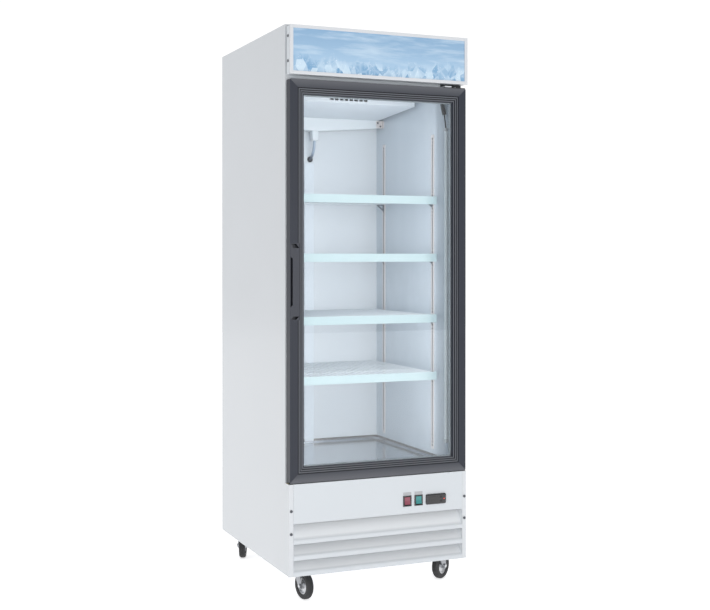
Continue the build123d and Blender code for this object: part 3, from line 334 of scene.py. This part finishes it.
def door_finish_material():
    """Charcoal extrusions with painted highlights on the beads, painted shade in the grooves beside them, and
    a painted reflection that makes the rails a shade paler than the stiles.
    """
    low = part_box("door_stile_left")[0]
    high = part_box("door_frame")[1]
    tree = finish("door_charcoal", (0.030, 0.034, 0.047), 0.40, mottle=0.06, mottle_scale=9, grain_scale=900,
                  grain_depth=0.00003, spread=0.05, specular=0.28)
    shader = tree.shader
    flat = shader.inputs["Base Color"].links[0].from_socket
    insets = []
    for name, index in (("X", 0), ("Z", 2)):
        middle = (low[index] + high[index]) / 2
        half = (high[index] - low[index]) / 2
        away = tree.math("ABSOLUTE", tree.math("SUBTRACT", tree.axis(name), middle))
        insets.append(tree.math("SUBTRACT", half, away))
    inset = tree.math("MINIMUM", *insets)
    # painted reflection: the rails are coloured paler than the stiles, most near their outer edge
    rail = tree.band(tree.math("SUBTRACT", insets[0], insets[1]), -0.0002, 0.0002)
    fade = tree.band(inset, 0.030, 0.004)
    rail_painted_reflection = tree.math("MULTIPLY", rail, tree.math("ADD", tree.math("MULTIPLY", fade, 0.7), 0.3))
    colour = tree.mix(rail_painted_reflection, flat, (0.105, 0.110, 0.125))
    # painted shade along the grooves and painted highlights along the beads
    lines = ((GROOVE_SHADE_INSETS, (0.004, 0.005, 0.008), 0.85), (BEAD_HIGHLIGHT_INSETS, (0.15, 0.16, 0.18), 0.7))
    for centres, painted_line_colour, share in lines:
        for centre in centres:
            off = tree.math("ABSOLUTE", tree.math("SUBTRACT", inset, centre * MM))
            line = tree.band(off, 2.1 * MM, 1.2 * MM)
            colour = tree.mix(tree.math("MULTIPLY", line, share), colour, painted_line_colour)
    tree.links.new(colour, shader.inputs["Base Color"])
    return tree.material


white_enamel = finish("white_enamel", (0.62, 0.645, 0.675), 0.34, mottle=0.012, grain_scale=700,
                      grain_depth=0.000035, coat=0.15).material
panel_enamel = finish("panel_enamel", (0.63, 0.67, 0.71), 0.34, mottle=0.012, grain_scale=700,
                      grain_depth=0.000035, coat=0.15).material
galvanised = finish("galvanised_steel", (0.55, 0.56, 0.58), 0.38, metallic=0.9, mottle=0.14, mottle_scale=60,
                    grain_scale=300).material
foam = finish("foam", (0.75, 0.66, 0.42), 0.9, mottle=0.1, mottle_scale=30, grain_depth=0.0004).material
liner_enamel = liner_material()
liner_bright = finish("liner_bright", (0.78, 0.82, 0.865), 0.48, mottle=0.012, grain_scale=500,
                      grain_depth=0.00002, specular=0.3).material
throat_plastic = finish("throat_plastic", (0.72, 0.76, 0.80), 0.36, mottle=0.012, grain_scale=900).material
stainless = tray_material()
header_plastic = finish("header_plastic", (0.64, 0.66, 0.69), 0.24, mottle=0.01, grain_depth=0.00002,
                        coat=0.4).material
diffuser = finish("diffuser", (0.82, 0.86, 0.88), 0.42, mottle=0.01, grain_scale=800).material
door_finish = door_finish_material()
rubber = finish("gasket_rubber", (0.025, 0.025, 0.028), 0.62, mottle=0.15, mottle_scale=40,
                grain_scale=900).material
spacer = finish("spacer_bar", (0.42, 0.46, 0.49), 0.42, metallic=0.3, grain_scale=600).material
handle_plastic = finish("handle_plastic", (0.030, 0.034, 0.048), 0.42, mottle=0.06, mottle_scale=30,
                        grain_scale=1300, grain_depth=0.00006).material
black_metal = finish("black_metal", (0.025, 0.025, 0.028), 0.34, mottle=0.15, mottle_scale=50,
                     grain_scale=800).material
aluminium = finish("aluminium", (0.62, 0.63, 0.64), 0.34, metallic=0.95, mottle=0.08,
                   mottle_scale=40).material
fan_plastic = finish("fan_plastic", (0.03, 0.03, 0.033), 0.48, mottle=0.1, grain_scale=900).material
motor_paint = finish("motor_paint", (0.02, 0.02, 0.022), 0.40, mottle=0.2, mottle_scale=25).material
drain_white = finish("drain_white", (0.80, 0.83, 0.85), 0.34, mottle=0.015, grain_scale=600).material
hose_plastic = hose_material()
copper = finish("copper", (0.62, 0.30, 0.17), 0.30, metallic=1.0, mottle=0.18, mottle_scale=30).material
gloss_black = finish("gloss_black", (0.018, 0.018, 0.021), 0.18, mottle=0.1, grain_depth=0.00002,
                     coat=0.5).material
rocker_red = finish("rocker_red", (0.26, 0.065, 0.095), 0.24, mottle=0.06, mottle_scale=60,
                    coat=0.3).material
rocker_green = finish("rocker_green", (0.04, 0.25, 0.25), 0.24, mottle=0.06, mottle_scale=60,
                      coat=0.3).material
dark_screw = finish("dark_screw", (0.10, 0.105, 0.12), 0.36, metallic=0.7, mottle=0.15,
                    mottle_scale=200).material
moulded_black = finish("moulded_black", (0.025, 0.025, 0.027), 0.55, grain_scale=900).material
fork_steel = finish("fork_steel", (0.34, 0.35, 0.37), 0.28, metallic=0.95, mottle=0.18, mottle_scale=45,
                    grain_scale=500).material
bright_steel = finish("bright_steel", (0.66, 0.67, 0.69), 0.24, metallic=1.0, mottle=0.1,
                      mottle_scale=80).material
standard_zinc = finish("standard_zinc", (0.74, 0.69, 0.68), 0.36, metallic=0.2, mottle=0.08, mottle_scale=60,
                       grain_scale=500).material
clip_steel = finish("clip_steel", (0.15, 0.16, 0.185), 0.42, metallic=0.3, mottle=0.12,
                    mottle_scale=80).material
slot_shadow = finish("slot_shadow", (0.030, 0.028, 0.030), 0.7, specular=0.1).material
label_grey = finish("label_grey", (0.42, 0.43, 0.45), 0.45, mottle=0.06, mottle_scale=120).material
display_glass = finish("display_glass", (0.012, 0.012, 0.014), 0.10, mottle=0.1, grain_depth=0.00001,
                       coat=0.6).material
lamp_tree = finish("lamp_red", (0.55, 0.03, 0.02), 0.25, mottle=0.1)
lamp_tree.shader.inputs["Emission Color"].default_value = (0.9, 0.08, 0.04, 1)
lamp_tree.shader.inputs["Emission Strength"].default_value = 1.2
lamp_red = lamp_tree.material
clear_glass = glass_material()
shelf_coat = shelf_material(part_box("shelf_1")[0][1] + STRIP_DEPTH)
header_film = header_picture_material()

FINISHES = {
    "side_panel_left": white_enamel, "side_panel_right": white_enamel, "top_panel": panel_enamel,
    "front_grille": grille_material(), "header_box": panel_enamel, "back_panel": galvanised,
    "base_frame": galvanised, "rear_grille": galvanised, "electrical_box": galvanised,
    "shelf_standards": standard_zinc, "shelf_clips": clip_steel, "foam_insulation": foam,
    "inner_liner": liner_enamel, "evaporator_housing": liner_bright, "throat_frame": throat_plastic,
    "floor_tray": stainless, "header_frame": header_plastic, "header_picture": header_film,
    "header_lamp": diffuser, "lamp_bar": diffuser, "door_stile_left": door_finish, "door_frame": door_finish,
    "door_gasket": rubber, "door_glass_outer": clear_glass, "door_glass_inner": clear_glass,
    "glass_spacer": spacer, "door_handle": handle_plastic, "hinge_bracket_top": black_metal,
    "hinge_bracket_bottom": black_metal, "shelf_1": shelf_coat, "shelf_2": shelf_coat, "shelf_3": shelf_coat,
    "shelf_4": shelf_coat, "evaporator_coil": aluminium, "condenser_coil": aluminium,
    "evaporator_fan": fan_plastic, "condenser_fan": fan_plastic, "evaporator_fan_motor": motor_paint,
    "condenser_fan_motor": motor_paint, "compressor": motor_paint, "drain_pan": drain_white,
    "lamp_connector": moulded_black, "refrigerant_lines": copper, "switch_bezels": gloss_black,
    "controller_body": gloss_black, "power_rocker": rocker_red, "lamp_rocker": rocker_green,
    "panel_screws": dark_screw, "condensate_tray": moulded_black, "cord_gland": moulded_black,
}
for corner in CORNERS:
    FINISHES[f"caster_fork_{corner}"] = fork_steel
    FINISHES[f"caster_wheel_{corner}"] = wheel_material(corner)
for name, material in FINISHES.items():
    node = nodes[name]
    node.data.materials.clear()
    node.data.materials.append(material)


# ---------------------------------------------------------------- cords
def spline_cord(name, route, diameter, material):
    """A round flexible line on one smooth spline through the route's control points."""
    curve = bpy.data.curves.new(name, "CURVE")
    curve.dimensions = "3D"
    spline = curve.splines.new("NURBS")
    spline.points.add(len(route) - 1)
    for point, place in zip(spline.points, route):
        point.co = (*(value * MM for value in place), 1)
    spline.order_u = 3
    spline.use_endpoint_u = True
    spline.resolution_u = 12
    curve.bevel_depth = diameter / 2
    curve.bevel_resolution = 6
    curve.materials.append(material)
    cord = bpy.data.objects.new(name, curve)
    scene.collection.objects.link(cord)
    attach(cord, "cabinet")
    return cord


HOSE_ROUTE = ((0, 262, 1689), (0, 262, 1672), (-0.4, 265.8, 1655.4), (-1.2, 272.9, 1641.1),
              (-2.2, 283.2, 1628.9), (-3.2, 296, 1619.2), (-4, 310.6, 1612.7))
HOSE_DIAMETER = 11 * MM
hose = spline_cord("drain_hose_tube", HOSE_ROUTE, HOSE_DIAMETER, hose_plastic)
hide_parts("drain_hose")

LEAD_ROUTE = ((289, -311, 1806), (289.2, -312.6, 1787), (290, -318.5, 1767), (290.6, -327.5, 1746),
              (291, -332.8, 1726), (291.2, -336.4, 1709), (291.2, -338.6, 1694.5))
LEAD_DIAMETER = 5 * MM
lead = spline_cord("lamp_lead_wire", LEAD_ROUTE, LEAD_DIAMETER, moulded_black)
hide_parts("lamp_lead")


# ---------------------------------------------------------------- mesh helpers
def piece_from(mesh, name, body, material, smooth=False, bevel=0.0):
    """Turns a bmesh into a piece that rides on a body, with a softened edge if asked."""
    data = bpy.data.meshes.new(name)
    mesh.to_mesh(data)
    mesh.free()
    data.materials.append(material)
    piece = bpy.data.objects.new(name, data)
    scene.collection.objects.link(piece)
    if bevel:
        soften(piece, bevel)
    elif smooth:
        data.shade_smooth()
    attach(piece, body)
    return piece


def soften(piece, width, segments=2):
    """Rounds the sharp edges of a piece."""
    modifier = piece.modifiers.new("edges", "BEVEL")
    modifier.width = width
    modifier.segments = segments
    modifier.limit_method = "ANGLE"
    modifier.angle_limit = radians(35)
    modifier.harden_normals = True
    piece.data.shade_smooth()


def mm(*values):
    """A point or a run of lengths given in millimetres, in metres."""
    return tuple(value * MM for value in values)


def block(mesh, low, high):
    """A closed box between two corners, in metres."""
    result = bmesh.ops.create_cube(mesh, size=1.0)
    size = Vector(high) - Vector(low)
    middle = (Vector(high) + Vector(low)) / 2
    bmesh.ops.transform(mesh, matrix=Matrix.Translation(middle) @ Matrix.Diagonal((*size, 1)),
                        verts=result["verts"])


def lathe(mesh, outline, centre, axis, steps=48):
    """Turns an outline of (radius, height) pairs, in mm, round an axis; it closes where the radius is 0."""
    axis = Vector(axis).normalized()
    side = axis.orthogonal().normalized()
    other = axis.cross(side)
    rings = []
    for radius, height in (mm(*pair) for pair in outline):
        base = Vector(centre) + axis * height
        if radius == 0:
            rings.append([mesh.verts.new(base)])
            continue
        turns = [2 * pi * k / steps for k in range(steps)]
        spokes = [(side * cos(turn) + other * sin(turn)) * radius for turn in turns]
        rings.append([mesh.verts.new(base + spoke) for spoke in spokes])
    for first, second in zip(rings, rings[1:]):
        for k in range(steps):
            corners = [first[k % len(first)], first[(k + 1) % len(first)],
                       second[(k + 1) % len(second)], second[k % len(second)]]
            unique = list(dict.fromkeys(corners))
            if len(unique) > 2:
                mesh.faces.new(unique)
    bmesh.ops.recalc_face_normals(mesh, faces=mesh.faces)


# ---------------------------------------------------------------- small pieces, sizes in mm
COVER_X = (-28.0, 12.0)
COVER_Z = (455.0, 1600.0)
COVER_BEHIND_EVAPORATOR = 58.0   # from the back of the evaporator housing to the back wall
STANDARD_Y = (-221.0, 225.0)
CHANNEL_HALF_W = 5.0
CHANNEL_DEPTH = (0.3, 2.65)      # from the wall to the inner face of a standard
CHANNEL_END = 4.0
GROMMET = (-3.5, 302.8, 1616.0)
BRACKET_Z = (1750.0, 1780.0)
BRACKET_SCREWS = ((276.0, 1772.0), (288.0, 1758.0))
BRACKET_FRONT_Y = 243.0
PANEL_SCREW_X = 340.5
PANEL_SCREW_Z = (329.0, 249.0)
PANEL_SCREW_Y = -394.3           # front of the screw heads
RECESS = (2.4, 0.45)             # half length and half width of one bar of the cross
HINGE_TOP_Z = 1838.6             # upper face of the top hinge plate
HINGE_COVER_Z = 1843.0
HINGE_COVER_BACK_Y = -354.4
HINGE_SCREWS = ((331.0, -372.0), (306.0, -380.0))
NUT_OFFSET = 21.4                # from the middle of the wheel to the outside of the fork


def cover_strip():
    """Vertical cover on the back wall that hides the joint and the drain tube."""
    mesh = bmesh.new()
    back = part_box("evaporator_housing")[1][1] + COVER_BEHIND_EVAPORATOR * MM
    block(mesh, (COVER_X[0] * MM, back - 5 * MM, COVER_Z[0] * MM),
          (COVER_X[1] * MM, back - 0.3 * MM, COVER_Z[1] * MM))
    piece_from(mesh, "back_cover_strip", "cabinet", liner_bright, bevel=1.2 * MM)


def standard_slot_shadows():
    """Painted shadow: dark strips inside the four slotted standards, seen through their slots, where there is
    only shade.
    """
    low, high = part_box("shelf_standards")
    near, far = mm(*CHANNEL_DEPTH)
    half, end = mm(CHANNEL_HALF_W, CHANNEL_END)
    mesh = bmesh.new()
    for wall_x, sign in ((low[0], 1), (high[0], -1)):
        for y in mm(*STANDARD_Y):
            block(mesh, (wall_x + sign * near, y - half, low[2] + end),
                  (wall_x + sign * far, y + half, high[2] - end))
    piece_from(mesh, "standard_slot_shadows", "cabinet", slot_shadow)


def drain_grommet():
    """Dark rubber ring where the drain hose enters the back wall."""
    mesh = bmesh.new()
    outline = ((6.4, 1), (6.4, -2.4), (7.4, -3.4), (10.4, -3.4), (11.6, -2.2), (12.2, 0), (6.4, 1))
    lathe(mesh, outline, mm(*GROMMET), (0, 1, 0))
    piece_from(mesh, "drain_grommet", "cabinet", rubber, smooth=True)


def drain_box():
    """White moulded box round the spigot under the drain pan."""
    mesh = bmesh.new()
    block(mesh, mm(-12.5, 249, 1691), mm(12.5, 275, 1728))
    piece_from(mesh, "drain_spigot_box", "cabinet", drain_white, bevel=2.0 * MM)


def pan_bracket():
    """Folded zinc bracket with two dark screws that holds the drain pan to the right wall."""
    bottom, top = BRACKET_Z
    mesh = bmesh.new()
    block(mesh, mm(296.2, 226, bottom), mm(297.8, 245, top))
    block(mesh, mm(269, BRACKET_FRONT_Y, bottom), mm(297.0, BRACKET_FRONT_Y + 1.6, top))
    piece_from(mesh, "drain_pan_bracket", "cabinet", standard_zinc, bevel=0.4 * MM)
    mesh = bmesh.new()
    for x, z in BRACKET_SCREWS:
        dome = ((0, 2.6), (2.2, 2.3), (3.6, 1.2), (4.0, 0), (0, 0))
        lathe(mesh, dome, mm(x, BRACKET_FRONT_Y, z), (0, -1, 0), 24)
    piece_from(mesh, "drain_pan_screws", "cabinet", dark_screw, smooth=True)


def switch_plates():
    """Blank grey label plates above the two rockers."""
    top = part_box("switch_bezels")[1][2]
    mesh = bmesh.new()
    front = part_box("front_grille")[0][1]
    for name in ("power_rocker", "lamp_rocker"):
        middle = sum(corner[0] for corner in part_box(name)) / 2
        block(mesh, (middle - 16 * MM, front - 0.8 * MM, top + 2 * MM),
              (middle + 16 * MM, front, top + 12 * MM))
    piece_from(mesh, "switch_label_plates", "cabinet", label_grey, bevel=0.3 * MM)


def controller_face():
    """Dark window, two membrane keys and a red lamp on the controller."""
    low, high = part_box("controller_body")
    front = low[1]
    middle_z = (low[2] + high[2]) / 2
    mesh = bmesh.new()
    block(mesh, (low[0] + 12 * MM, front - 0.5 * MM, middle_z - 10 * MM),
          (low[0] + 50 * MM, front + 0.6 * MM, middle_z + 10 * MM))
    piece_from(mesh, "controller_window", "cabinet", display_glass, bevel=0.4 * MM)
    mesh = bmesh.new()
    for row in (-1, 1):
        block(mesh, (high[0] - 27 * MM, front - 0.4 * MM, middle_z + row * 7 * MM - 4 * MM),
              (high[0] - 17 * MM, front + 0.6 * MM, middle_z + row * 7 * MM + 4 * MM))
    piece_from(mesh, "controller_keys", "cabinet", moulded_black, bevel=0.5 * MM)
    mesh = bmesh.new()
    dome = ((0, 1.0), (1.4, 0.8), (2.0, 0), (2.0, -1), (0, -1))
    lathe(mesh, dome, (high[0] - 10 * MM, front - 0.1 * MM, middle_z), (0, -1, 0), 20)
    piece_from(mesh, "controller_lamp", "cabinet", lamp_red, smooth=True)


def screw_recesses():
    """Cross recesses on the four screws of the louvred panel, drawn as dark crosses: painted shade for the
    hollow of each recess.
    """
    long, short = RECESS
    mesh = bmesh.new()
    for side in (-1, 1):
        for z in PANEL_SCREW_Z:
            x = side * PANEL_SCREW_X
            y = PANEL_SCREW_Y
            for across, up in ((long, short), (short, long)):
                block(mesh, mm(x - across, y - 0.12, z - up), mm(x + across, y + 0.3, z + up))
    piece_from(mesh, "screw_recesses", "cabinet", moulded_black)


def hinge_trim():
    """White cover on the left part of the top hinge plate and a bright adjusting screw beside the pin."""
    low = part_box("hinge_bracket_top")[0]
    mesh = bmesh.new()
    block(mesh, (low[0] - 1 * MM, low[1] - 0.6 * MM, HINGE_TOP_Z * MM),
          (low[0] + 26 * MM, HINGE_COVER_BACK_Y * MM, HINGE_COVER_Z * MM))
    piece_from(mesh, "hinge_cover", "cabinet", header_plastic, bevel=0.6 * MM)
    mesh = bmesh.new()
    head = ((0, 2.6), (4.6, 2.4), (5.4, 1.6), (5.4, 0), (0, 0))
    for x, y in HINGE_SCREWS:
        lathe(mesh, head, mm(x, y, HINGE_TOP_Z), (0, 0, 1), 32)
    piece_from(mesh, "hinge_screws", "cabinet", bright_steel, smooth=True)


def axle_nuts(corner):
    """Hexagonal nuts on both ends of one caster's axle."""
    joint = joints[f"caster_{corner}_spin"]
    axis = Vector(joint["axis"])
    centre = Vector(joint["pos_m"])
    mesh = bmesh.new()
    for side in (-1, 1):
        nut = ((0, 2.4), (5.6, 2.4), (6.6, 1.6), (6.6, 0), (0, 0))
        lathe(mesh, nut, centre + axis * side * NUT_OFFSET * MM, axis * side, 6)
    piece_from(mesh, f"axle_nuts_{corner}", f"caster_{corner}_fork", bright_steel,
               bevel=0.3 * MM)


def lamp_caps():
    """White end caps that close the lamp bar."""
    low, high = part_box("lamp_bar")
    mesh = bmesh.new()
    for z0, z1 in ((low[2] - 1 * MM, low[2] + 12 * MM), (high[2] - 12 * MM, high[2] - 0.2 * MM)):
        block(mesh, (low[0] - 0.8 * MM, low[1] - 0.8 * MM, z0), (high[0] - 0.1 * MM, high[1] + 0.8 * MM, z1))
    piece_from(mesh, "lamp_end_caps", "cabinet", header_plastic, bevel=1.0 * MM)


cover_strip()
standard_slot_shadows()
drain_grommet()
drain_box()
pan_bracket()
switch_plates()
controller_face()
screw_recesses()
hinge_trim()
lamp_caps()
for corner in CORNERS:
    axle_nuts(corner)

# softened edges on the crisp CAD pieces
for name, width in (("header_frame", 0.9), ("header_box", 0.8), ("door_stile_left", 0.5), ("door_frame", 0.5),
                    ("front_grille", 0.35), ("top_panel", 0.3), ("throat_frame", 0.8), ("door_handle", 0.5),
                    ("switch_bezels", 0.5), ("power_rocker", 0.5), ("lamp_rocker", 0.5), ("drain_pan", 0.8),
                    ("evaporator_housing", 0.5), ("hinge_bracket_top", 0.4), ("hinge_bracket_bottom", 0.4)):
    soften(nodes[name], width * MM)


# ---------------------------------------------------------------- floor and light
def studio_floor():
    mesh = bmesh.new()
    bmesh.ops.create_grid(mesh, x_segments=1, y_segments=1, size=14.0)
    data = bpy.data.meshes.new("studio_floor")
    mesh.to_mesh(data)
    mesh.free()
    paint = finish("floor_paint", (0.93, 0.93, 0.93), 0.8, mottle=0.004, mottle_scale=1.0, specular=0.0)
    paint.shader.inputs["Emission Color"].default_value = (1, 1, 1, 1)
    paint.shader.inputs["Emission Strength"].default_value = 0.62
    data.materials.append(paint.material)
    floor = bpy.data.objects.new("studio_floor", data)
    scene.collection.objects.link(floor)


def softbox(name, place, target, size, power, colour=(1, 1, 1)):
    """A large rectangular area lamp aimed at a point."""
    data = bpy.data.lights.new(name, "AREA")
    data.shape = "RECTANGLE"
    data.size, data.size_y = size
    data.energy = power
    data.color = colour
    lamp = bpy.data.objects.new(name, data)
    lamp.location = place
    lamp.rotation_euler = (Vector(target) - Vector(place)).to_track_quat("-Z", "Y").to_euler()
    lamp.visible_camera = False
    scene.collection.objects.link(lamp)


studio_floor()
softbox("front_box", (-0.5, -4.9, 1.35), (0.0, -0.35, 0.95), (2.6, 1.3), 62, (1.0, 1.0, 1.0))
softbox("side_box", (-2.0, 0.7, 1.6), (-0.35, 0.1, 1.5), (1.2, 1.0), 7, (0.97, 0.985, 1.0))
softbox("strip_glow", (0.0, -0.312, 1.13), (0.0, 0.3, 1.13), (0.54, 1.33), 1.35, (1.0, 0.995, 0.99))
softbox("cavity_glow", (0.0, -0.262, 1.13), (0.0, 0.3, 1.13), (0.54, 1.33), 3.0, (1.0, 0.995, 0.995))


def studio_world():
    """White backdrop for the camera, and a slightly dimmer white sky that lights the object."""
    world = bpy.data.worlds.new("studio")
    scene.world = world
    world.use_nodes = True
    tree = world.node_tree
    backdrop = tree.nodes["Background"]
    backdrop.inputs["Color"].default_value = (1, 1, 1, 1)
    rays = tree.nodes.new("ShaderNodeLightPath")
    strength = tree.nodes.new("ShaderNodeMapRange")
    tree.links.new(rays.outputs["Is Camera Ray"], strength.inputs["Value"])
    strength.inputs["To Min"].default_value = SKY_STRENGTH
    strength.inputs["To Max"].default_value = BACKDROP_STRENGTH
    tree.links.new(strength.outputs["Result"], backdrop.inputs["Strength"])


studio_world()
scene.view_settings.view_transform = "Standard"
